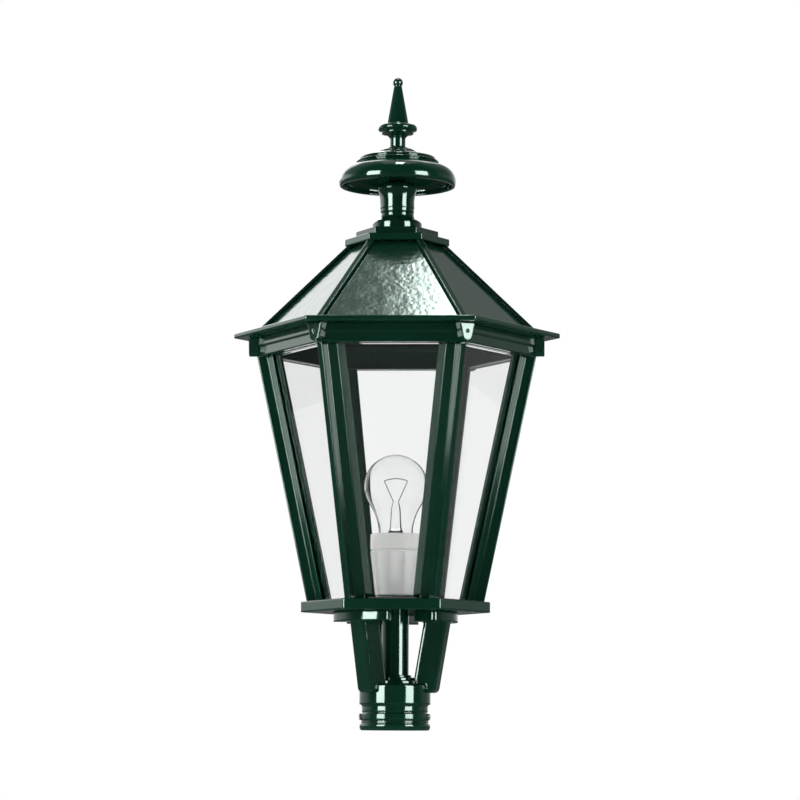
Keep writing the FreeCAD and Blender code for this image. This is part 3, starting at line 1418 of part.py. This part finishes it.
def bulb_filament():
    """One fine wire: a lead, the filament's flat arch and the other lead."""
    body = new_body("bulb_filament")
    path = new_sketch(body, "XZ_Plane")
    points = [("-Size.lead_root", "Level.lead_foot"), ("-Size.lead_reach", "Level.filament"),
              ("Size.lead_reach", "Level.filament"), ("Size.lead_root", "Level.lead_foot")]
    spots = [FreeCAD.Vector(number(x), number(z), 0) for x, z in points]
    path.addGeometry(Part.LineSegment(spots[0], spots[1]), False)
    arch, swapped = arc_between(spots[1], spots[2], number("Size.arch_bend"))
    path.addGeometry(arch, False)
    path.addGeometry(Part.LineSegment(spots[2], spots[3]), False)
    arch_ends = (2, 1) if swapped else (1, 2)
    path.addConstraint(Sketcher.Constraint("Coincident", 0, 2, 1, arch_ends[0]))
    path.addConstraint(Sketcher.Constraint("Coincident", 2, 1, 1, arch_ends[1]))
    for edge, end, spot in ((0, 1, 0), (0, 2, 1), (2, 1, 2), (2, 2, 3)):
        pin_point(path, edge, end, points[spot][0], points[spot][1])
    row = path.addConstraint(Sketcher.Constraint("Radius", 1, number("Size.arch_bend")))
    path.setExpression("Constraints[%d]" % row, "Size.arch_bend")
    section = circle(new_sketch(body, "XY_Plane", "Level.lead_foot"), "-Size.lead_root", "0",
                     "Size.lead_radius")
    feature = body.newObject("PartDesign::AdditivePipe", "bulb_filament_wire")
    feature.Profile = section
    feature.Spine = (path, [])
    feature.Transition = "Round corner"
    doc.recompute()


def build():
    """Make every sub-part."""
    socket_collar()
    cable_tube()
    tube_flange()
    tube_locknut()
    cable_grommet()
    for index, angle in enumerate(("Size.set_screw_spread", "-Size.set_screw_spread", "180"), start=1):
        set_screw(index, angle)
    for index in range(1, int(number("Size.legs")) + 1):
        tripod_leg(index)
    leg_screws()
    base_plate()
    corners = int(number("Size.corners"))
    for index in range(1, corners + 1):
        corner_post(index)
        glass_pane(index)
        roof_panel(index)
        hip_bar(index)
    cage_screws()
    pane_strips()
    cage_ring()
    eave_flange()
    eave_skirt()
    corner_brackets()
    bracket_rivets()
    crown_tiers()
    crown_ogee()
    neck()
    dome_cap()
    finial()
    tie_rod()
    holder_bracket()
    lampholder_body()
    lampholder_ring()
    screw_shell()
    centre_contact()
    bulb_glass()
    bulb_cap()
    bulb_stem()
    bulb_filament()


def check_objects():
    """Stop if any feature failed or any sub-part's shape isn't sound."""
    doc.recompute()
    for item in doc.Objects:
        bad = [state for state in item.State if state in ("Invalid", "Error")]
        if bad:
            raise RuntimeError("%s is %s" % (item.Name, bad))
    for body in nodes:
        if body.Shape.isNull() or not body.Shape.isValid():
            raise RuntimeError("%s has no sound shape" % body.Label)


def write_nodes():
    """Write one file for each sub-part, named after its label."""
    os.makedirs("parts", exist_ok=True)
    for body in nodes:
        body.Shape.exportStep("parts/%s.step" % body.Label)
        box = body.Shape.BoundBox
        print("%-18s %2d solids %10.1f mm3  z %7.2f .. %7.2f" % (
            body.Label, len(body.Shape.Solids), body.Shape.Volume, box.ZMin, box.ZMax))


build()
check_objects()
write_nodes()
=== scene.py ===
import json
import math

import bpy
from mathutils import Matrix, Vector

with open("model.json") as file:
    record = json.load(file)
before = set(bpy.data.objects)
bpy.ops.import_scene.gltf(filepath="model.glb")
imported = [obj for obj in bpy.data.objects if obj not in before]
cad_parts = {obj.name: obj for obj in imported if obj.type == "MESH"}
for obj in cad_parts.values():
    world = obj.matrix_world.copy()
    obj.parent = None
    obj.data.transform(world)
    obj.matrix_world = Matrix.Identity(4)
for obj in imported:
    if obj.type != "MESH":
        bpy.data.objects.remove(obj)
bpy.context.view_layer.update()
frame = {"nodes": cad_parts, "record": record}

MM = 0.001

# Camera: its distance from the lantern's axis, its turn to the right of the front pane's normal, its
# upward tilt, its roll, the lens's height from the part's origin, its shift to the right, how far it
# sees, and its focal length in pixels of an image so wide.
CAMERA_DISTANCE = 3.0
CAMERA_AZIMUTH = math.radians(2.41)
CAMERA_PITCH = math.radians(6.18)
CAMERA_ROLL = math.radians(0.27)
CAMERA_HEIGHT = -15 * MM
CAMERA_SIDE = 3.4 * MM
CAMERA_REACH = 60
IMAGE_WIDTH = 800
FOCAL_PIXELS = 3202
SENSOR_WIDTH = 36

# Light that shows colour: its mean strength, and what it gains towards the right, the back and the top.
PLAIN_LIGHT = 1.1
LIGHT_SLOPE = (-0.5, 0.8, 0.4)

# What gloss sees: a white backdrop behind, a dark room in front and a dark floor. Each pair says between
# which parts of a direction the backdrop fades, along Y at its front edge, along Z at its top and foot
# and along X on its right. The top and the right fade to the two dimmed strengths.
WHITE = 1.0
DARK_FRONT = 0.03
DARK_FLOOR = 0.08
BACKDROP_EDGE = (-0.25, 0.35)
BACKDROP_TOP = (0.15, 0.5)
BACKDROP_FOOT = (-0.04, 0.04)
BACKDROP_RIGHT = (0.3, 0.8)
DIM_RIGHT = 0.4
DIM_TOP = 0.35

# Distance of the standing lamps from the lantern's axis.
LAMP_DISTANCE = 2.6

# Floor: its height, how far it reaches from the axis, and the greys between which it varies.
FLOOR_HEIGHT = -0.62
FLOOR_REACH = 14.0
FLOOR_TINTS = ((0.86, 0.86, 0.86, 1), (0.9, 0.9, 0.9, 1))

# Enamel: its linear colour, the factors between which colour and roughness vary, the roughness of
# smooth paint, the tint of its gloss, and how far shading rounds its edges.
GREEN = (0.0034, 0.0300, 0.0165)
GREEN_FACTORS = (0.88, 1.14)
ENAMEL_ROUGHNESS = 0.08
ENAMEL_WEAR = (0.85, 1.35)
GLOSS_TINT = (0.78, 1.0, 0.9, 1)
EDGE_ROUND = 2.0 * MM
EDGE_SAMPLES = 8

# Bare metal: the factors between which colour and roughness vary.
METAL_FACTORS = (0.86, 1.0)
METAL_WEAR = (0.8, 1.3)

# Colours between which the other finishes vary, in linear RGBA.
PANE_TINTS = ((0.95, 0.956, 0.953, 1), (0.96, 0.966, 0.963, 1))
LAMP_TINTS = ((0.965, 0.97, 0.97, 1), (0.985, 0.99, 0.99, 1))
PORCELAIN_TINTS = ((0.86, 0.86, 0.84, 1), (0.92, 0.92, 0.91, 1))
RUBBER_TINTS = ((0.012, 0.012, 0.012, 1), (0.028, 0.028, 0.028, 1))

# Part of a noise's range over which a change is spread, where nothing else is said.
NOISE_SPAN = (0.3, 0.7)

# Sockets of a colour mix node, whose names its sockets for numbers share.
MIX_FIRST = 6
MIX_SECOND = 7
MIX_RESULT = 2


def make_camera():
    """Place the camera where the photograph was taken from."""
    ahead = Vector((-math.sin(CAMERA_AZIMUTH), math.cos(CAMERA_AZIMUTH), 0))
    right = Vector((math.cos(CAMERA_AZIMUTH), math.sin(CAMERA_AZIMUTH), 0))
    place = right * CAMERA_SIDE - ahead * CAMERA_DISTANCE + Vector((0, 0, CAMERA_HEIGHT))
    view = ahead * math.cos(CAMERA_PITCH) + Vector((0, 0, math.sin(CAMERA_PITCH)))
    up = right.cross(view)
    rolled_up = up * math.cos(CAMERA_ROLL) - right * math.sin(CAMERA_ROLL)
    rolled_right = right * math.cos(CAMERA_ROLL) + up * math.sin(CAMERA_ROLL)
    data = bpy.data.cameras.new("camera")
    data.sensor_width = SENSOR_WIDTH
    data.sensor_fit = "HORIZONTAL"
    data.lens = SENSOR_WIDTH * FOCAL_PIXELS / IMAGE_WIDTH
    data.clip_end = CAMERA_REACH
    camera = bpy.data.objects.new("camera", data)
    turn = Matrix((rolled_right, rolled_up, -view)).transposed().to_4x4()
    camera.matrix_world = Matrix.Translation(place) @ turn
    bpy.context.scene.collection.objects.link(camera)
    bpy.context.scene.camera = camera


# ---------------------------------------------------------------- node trees

def fill(node, inputs):
    """Set a node's inputs by name, with _ where the name has a blank."""
    for name, value in inputs.items():
        node.inputs[name.replace("_", " ")].default_value = value


class Wiring:
    """Small helper to wire up the nodes of a material or of the world."""

    def __init__(self, tree):
        self.tree = tree

    def add(self, kind, operation=None, **inputs):
        node = self.tree.nodes.new(kind)
        if operation:
            node.operation = operation
        fill(node, inputs)
        return node

    def join(self, source, target):
        self.tree.links.new(source, target)

    def give(self, target, value):
        """Set an input to a number, or join an output to it."""
        if isinstance(value, (int, float)):
            target.default_value = value
        else:
            self.join(value, target)

    def combine(self, operation, first, second, clamp=False):
        """Result of an operation on two values, each a number or an output."""
        node = self.add("ShaderNodeMath", operation)
        node.use_clamp = clamp
        self.give(node.inputs[0], first)
        self.give(node.inputs[1], second)
        return node.outputs[0]


class Finish(Wiring):
    """Material of one shader, with patterns that lie in the object's own metres."""

    def __init__(self, name):
        self.material = bpy.data.materials.new(name)
        self.material.use_nodes = True
        super().__init__(self.material.node_tree)
        self.shader = self.tree.nodes["Principled BSDF"]
        self.place = self.add("ShaderNodeTexCoord").outputs["Object"]

    def set(self, **inputs):
        fill(self.shader, inputs)

    def noise(self, scale, detail=2.0, roughness=0.5):
        node = self.add("ShaderNodeTexNoise", Scale=scale, Detail=detail, Roughness=roughness)
        self.join(self.place, node.inputs["Vector"])
        return node.outputs["Fac"]

    def ramp(self, source, ends, span=NOISE_SPAN):
        """Colour that goes from the first to the last of ends over a span of source."""
        node = self.add("ShaderNodeValToRGB")
        self.join(source, node.inputs["Fac"])
        for index in range(2):
            node.color_ramp.elements[index].position = span[index]
            node.color_ramp.elements[index].color = ends[index]
        return node.outputs["Color"]

    def vary(self, target, source, ends, span=NOISE_SPAN):
        """Let one of the shader's inputs go from the first to the last of ends with source."""
        self.join(self.ramp(source, ends, span), self.shader.inputs[target])

    def bump(self, height, depth, normal=None):
        node = self.add("ShaderNodeBump", Strength=1.0, Distance=depth)
        self.join(height, node.inputs["Height"])
        if normal is not None:
            self.join(normal, node.inputs["Normal"])
        return node.outputs["Normal"]

    def shape(self, normal):
        self.join(normal, self.shader.inputs["Normal"])


def grey(value):
    return (value, value, value, 1)


def greys(value, factors):
    """Grey of a value times each of the factors."""
    return [grey(value * factor) for factor in factors]


def shades(colour, factors):
    """Opaque colour times each of the factors."""
    return [tuple(part * factor for part in colour) + (1,) for factor in factors]


# ---------------------------------------------------------------- materials

def enamel(name, peel, wave, roughness=ENAMEL_ROUGHNESS):
    """Gloss enamel: fine orange peel over broader waves, each given as width and depth in millimetres,
    with faint changes of colour and of gloss."""
    finish = Finish(name)
    peel_width, peel_depth = peel
    wave_width, wave_depth = wave
    mottle = finish.noise(scale=22, detail=3)
    finish.vary("Base Color", mottle, shades(GREEN, GREEN_FACTORS), span=(0.35, 0.68))
    wear = finish.noise(scale=60, detail=4, roughness=0.6)
    finish.vary("Roughness", wear, greys(roughness, ENAMEL_WEAR), span=(0.3, 0.8))
    edge = finish.add("ShaderNodeBevel", Radius=EDGE_ROUND)
    edge.samples = EDGE_SAMPLES
    fine = finish.noise(scale=1 / (peel_width * MM), detail=1.5, roughness=0.4)
    broad = finish.noise(scale=1 / (wave_width * MM), detail=1.0, roughness=0.4)
    peeled = finish.bump(fine, peel_depth * MM, normal=edge.outputs["Normal"])
    finish.shape(finish.bump(broad, wave_depth * MM, normal=peeled))
    finish.set(IOR=1.5, Specular_Tint=GLOSS_TINT)
    return finish.material


def pane_glass(name):
    """Clear flat glass with a breath of grey. Its IOR is below real glass's, so slanted panes stay light."""
    finish = Finish(name)
    finish.vary("Base Color", finish.noise(scale=9, detail=3), PANE_TINTS)
    finish.set(Roughness=0.0, IOR=1.25, Transmission_Weight=1.0)
    return finish.material


def lamp_glass(name):
    """Thin blown glass, a little wavy. Its IOR is below real glass's, as the panes' is."""
    finish = Finish(name)
    finish.vary("Base Color", finish.noise(scale=30), LAMP_TINTS)
    finish.shape(finish.bump(finish.noise(scale=70, detail=1), depth=0.2 * MM))
    finish.set(Roughness=0.0, IOR=1.22, Transmission_Weight=1.0)
    return finish.material


def metal(name, colour, roughness):
    """Bare metal with fine grain."""
    finish = Finish(name)
    grain = finish.noise(scale=900, detail=3, roughness=0.6)
    finish.vary("Base Color", grain, shades(colour, METAL_FACTORS))
    finish.vary("Roughness", grain, greys(roughness, METAL_WEAR))
    finish.shape(finish.bump(grain, depth=0.01 * MM))
    finish.set(Metallic=1.0)
    return finish.material


def porcelain(name):
    """White glazed porcelain."""
    finish = Finish(name)
    finish.vary("Base Color", finish.noise(scale=40, detail=3), PORCELAIN_TINTS, span=(0.3, 0.75))
    finish.shape(finish.bump(finish.noise(scale=120, detail=2), depth=0.06 * MM))
    finish.set(Roughness=0.16, IOR=1.5, Coat_Weight=0.6, Coat_Roughness=0.03)
    finish.set(Subsurface_Weight=0.05, Subsurface_Scale=2 * MM)
    return finish.material


def rubber(name):
    """Dull black rubber with a fine skin."""
    finish = Finish(name)
    finish.vary("Base Color", finish.noise(scale=200, detail=3), RUBBER_TINTS)
    finish.shape(finish.bump(finish.noise(scale=700, detail=2), depth=0.04 * MM))
    finish.set(Roughness=0.7)
    return finish.material


def finish_nodes():
    """Give every carried-over node the finish of its slot, and the legs a cast one."""
    finishes = {
        "green_paint": enamel("green_enamel", peel=(3.0, 0.01), wave=(18, 0.03)),
        "post_paint": enamel("post_enamel", peel=(3.5, 0.008), wave=(30, 0.02)),
        "roof_paint": enamel("roof_enamel", peel=(4.0, 0.09), wave=(12, 0.12), roughness=0.12),
        "pane_glass": pane_glass("pane_glass_clear"),
        "stainless": metal("stainless_steel", (0.62, 0.62, 0.6), roughness=0.24),
        "zinc_steel": metal("zinc_steel_plate", (0.5, 0.51, 0.52), roughness=0.38),
        "rubber": rubber("black_rubber"),
        "porcelain": porcelain("glazed_porcelain"),
        "brass": metal("plain_brass", (0.78, 0.6, 0.3), roughness=0.3),
        "cap_metal": metal("nickel_cap", (0.72, 0.7, 0.66), roughness=0.28),
        "bulb_glass": lamp_glass("lamp_glass_clear"),
        "tungsten": metal("filament_wire", (0.28, 0.27, 0.26), roughness=0.4),
    }
    cast = enamel("cast_enamel", peel=(3.0, 0.01), wave=(11, 0.22))
    for entry in frame["record"]["subparts"]:
        piece = frame["nodes"][entry["node"]]
        is_leg = entry["node"].startswith("tripod_leg")
        material = cast if is_leg else finishes[entry["material_slot"]]
        if not piece.material_slots:
            piece.data.materials.append(material)
        for slot in piece.material_slots:
            slot.material = material


# ---------------------------------------------------------------- studio

def make_floor():
    """Pale floor well below the lantern, which gloss sees dark."""
    mesh = bpy.data.meshes.new("floor")
    signs = [(-1, -1), (1, -1), (1, 1), (-1, 1)]
    corners = [(FLOOR_REACH * x, FLOOR_REACH * y, FLOOR_HEIGHT) for x, y in signs]
    mesh.from_pydata(corners, [], [(0, 1, 2, 3)])
    floor = bpy.data.objects.new("floor", mesh)
    bpy.context.scene.collection.objects.link(floor)
    finish = Finish("floor_white")
    shade = finish.add("ShaderNodeMix")
    shade.data_type = "RGBA"
    # A ray through smooth glass counts as glossy too, and it has to see the floor pale.
    rays = finish.add("ShaderNodeLightPath").outputs
    mirrored = finish.combine("SUBTRACT", rays["Is Glossy Ray"], rays["Is Transmission Ray"], clamp=True)
    finish.join(mirrored, shade.inputs["Factor"])
    pale = finish.ramp(finish.noise(scale=3, detail=4), FLOOR_TINTS, span=(0.2, 0.8))
    finish.join(pale, shade.inputs[MIX_FIRST])
    shade.inputs[MIX_SECOND].default_value = grey(DARK_FLOOR)
    finish.join(shade.outputs[MIX_RESULT], finish.shader.inputs["Base Color"])
    finish.set(Roughness=0.8, Specular_IOR_Level=0.1)
    mesh.materials.append(finish.material)


def make_world():
    """Sloping light for colour, a backdrop and a dark room for gloss, and white where it is seen."""
    world = bpy.data.worlds.new("studio")
    bpy.context.scene.world = world
    world.use_nodes = True
    world.node_tree.nodes.clear()
    wiring = Wiring(world.node_tree)

    def fade(source, span, first, last):
        """Value that goes smoothly from first to last over a span of source."""
        start, end = span
        node = wiring.add("ShaderNodeMapRange", From_Min=start, From_Max=end, To_Min=first, To_Max=last)
        node.interpolation_type = "SMOOTHSTEP"
        wiring.join(source, node.inputs["Value"])
        return node.outputs["Result"]

    def background(strength):
        node = wiring.add("ShaderNodeBackground", Color=(1, 1, 1, 1))
        wiring.give(node.inputs["Strength"], strength)
        return node.outputs[0]

    def mix(factor, first, second):
        node = wiring.add("ShaderNodeMixShader")
        for target, source in zip(node.inputs, (factor, first, second)):
            wiring.join(source, target)
        return node.outputs[0]

    direction = wiring.add("ShaderNodeTexCoord").outputs["Generated"]
    split = wiring.add("ShaderNodeSeparateXYZ")
    wiring.join(direction, split.inputs["Vector"])
    behind = fade(split.outputs["Y"], BACKDROP_EDGE, DARK_FRONT, WHITE)
    below_top = fade(split.outputs["Z"], BACKDROP_TOP, WHITE, DIM_TOP)
    above_foot = fade(split.outputs["Z"], BACKDROP_FOOT, DARK_FLOOR, WHITE)
    left_of_dim = fade(split.outputs["X"], BACKDROP_RIGHT, WHITE, DIM_RIGHT)
    upright = wiring.combine("MULTIPLY", below_top, above_foot)
    level = wiring.combine("MULTIPLY", behind, left_of_dim)
    mirror = background(wiring.combine("MULTIPLY", upright, level))

    slope = wiring.add("ShaderNodeVectorMath", "DOT_PRODUCT")
    wiring.join(direction, slope.inputs[0])
    slope.inputs[1].default_value = LIGHT_SLOPE
    plain = wiring.combine("ADD", slope.outputs["Value"], PLAIN_LIGHT)
    colour_light = background(wiring.combine("MAXIMUM", plain, 0))

    # Glass shows the white that is seen straight through it, but what a mirrored ray meets behind
    # glass is the mirrored room.
    rays = wiring.add("ShaderNodeLightPath").outputs
    once_mirrored = wiring.combine("MINIMUM", rays["Glossy Depth"], 1)
    mirrored_through = wiring.combine("MULTIPLY", rays["Is Transmission Ray"], once_mirrored)
    straight_through = wiring.combine("SUBTRACT", rays["Is Transmission Ray"], mirrored_through)
    glossy = wiring.combine("MAXIMUM", rays["Is Glossy Ray"], mirrored_through)
    seen = wiring.combine("MAXIMUM", rays["Is Camera Ray"], straight_through)
    lit = mix(glossy, colour_light, mirror)
    surface = mix(seen, lit, background(WHITE))
    wiring.join(surface, wiring.add("ShaderNodeOutputWorld").inputs["Surface"])


def softbox(name, place, aim, width, tall, radiance):
    """Rectangular lamp that only gloss sees, so that the light for colour stays as it is."""
    data = bpy.data.lights.new(name, "AREA")
    data.shape = "RECTANGLE"
    data.size = width
    data.size_y = tall
    data.energy = radiance * math.pi * width * tall
    lamp = bpy.data.objects.new(name, data)
    heading = (Vector(aim) - Vector(place)).to_track_quat("-Z", "Y").to_matrix().to_4x4()
    lamp.matrix_world = Matrix.Translation(place) @ heading
    lamp.visible_camera = False
    lamp.visible_diffuse = False
    lamp.visible_transmission = False
    bpy.context.scene.collection.objects.link(lamp)


def standing_softbox(name, start, end, foot, top, radiance):
    """Lamp that stands round the lantern between two azimuths, counted from the front to the right."""
    middle = math.radians((start + end) / 2)
    width = 2 * LAMP_DISTANCE * math.tan(math.radians((end - start) / 2))
    height = (foot + top) / 2
    place = (math.sin(middle) * LAMP_DISTANCE, -math.cos(middle) * LAMP_DISTANCE, height)
    softbox(name, place, (0, 0, height), width, top - foot, radiance)


def hanging_softbox(name, across, back, height, width, tall, radiance):
    """Lamp that hangs level over a point and shines straight down."""
    softbox(name, (across, back, height), (across, back, 0), width, tall, radiance)


def make_lamps():
    """Two bright softboxes in front and one on top, and dim panels on the left, the back and the top."""
    standing_softbox("softbox_left", start=-59, end=-32, foot=0.0, top=1.7, radiance=24)
    standing_softbox("softbox_right", start=38, end=64, foot=0.0, top=1.7, radiance=22)
    standing_softbox("panel_left", start=-136, end=-100, foot=0.4, top=1.4, radiance=0.9)
    standing_softbox("panel_back_left", start=-176, end=-138, foot=1.0, top=3.0, radiance=2.2)
    hanging_softbox("softbox_top", 0.075, -0.14, height=2.0, width=0.22, tall=0.5, radiance=26)
    hanging_softbox("panel_top", 0, 0.1, height=2.3, width=1.0, tall=1.1, radiance=0.7)
    hanging_softbox("panel_top_back", 0, 2.0, height=2.3, width=1.3, tall=1.8, radiance=1.8)


make_camera()
finish_nodes()
make_floor()
make_world()
make_lamps()
bpy.context.scene.view_settings.view_transform = "Standard"
